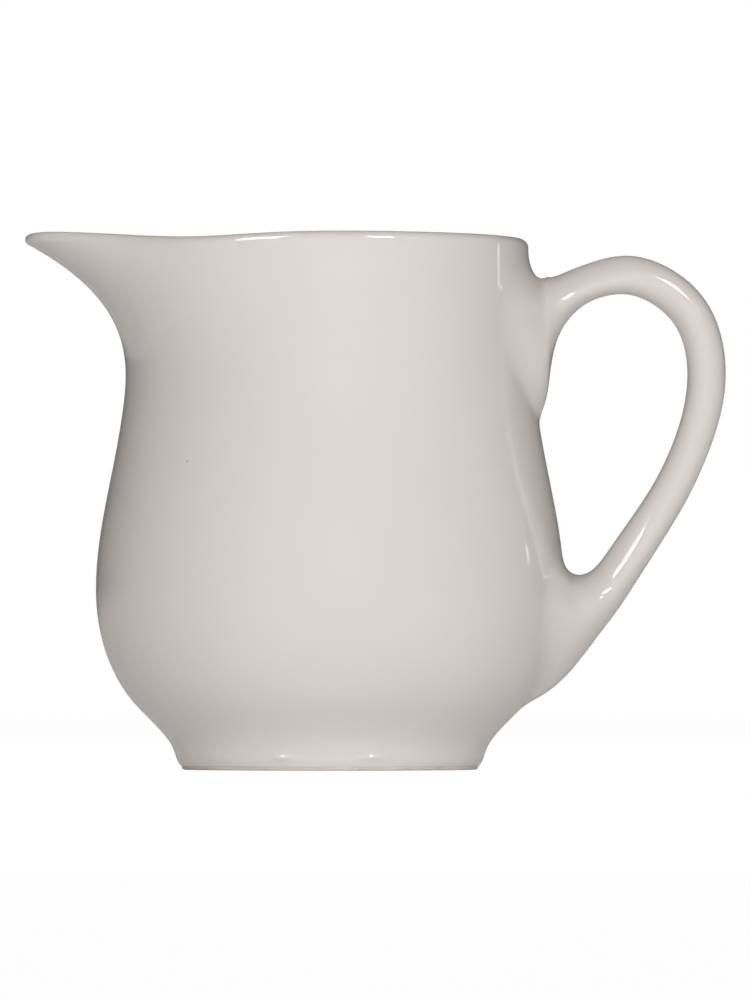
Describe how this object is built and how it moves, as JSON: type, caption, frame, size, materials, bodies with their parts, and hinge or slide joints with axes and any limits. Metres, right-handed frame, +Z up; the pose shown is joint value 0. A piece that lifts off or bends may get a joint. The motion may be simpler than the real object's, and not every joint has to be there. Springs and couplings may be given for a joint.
{
  "type": "cream jug",
  "caption": "White glazed porcelain cream jug with a belly, a wide pulled spout and a loop handle on flared terminals.",
  "frame": {"origin": "on the body's vertical axis, in the plane of the standing ring that rests on the table", "axes": "+Z up, +X from the axis towards the handle, so the spout points along -X; +Y across the jug"},
  "size_m": [0.13, 0.0868, 0.0993],
  "materials": {
    "biscuit": "matte, fired and unglazed",
    "slip": "matte, fired slip under the glaze",
    "glaze": "gloss, warm white"
  },
  "bodies": {
    "root": {"body": "biscuit", "handle": "biscuit", "upper_luting_slip": "slip", "lower_luting_slip": "slip", "glaze_coat": "glaze", "base_glaze": "glaze"}
  },
  "joints": []
}
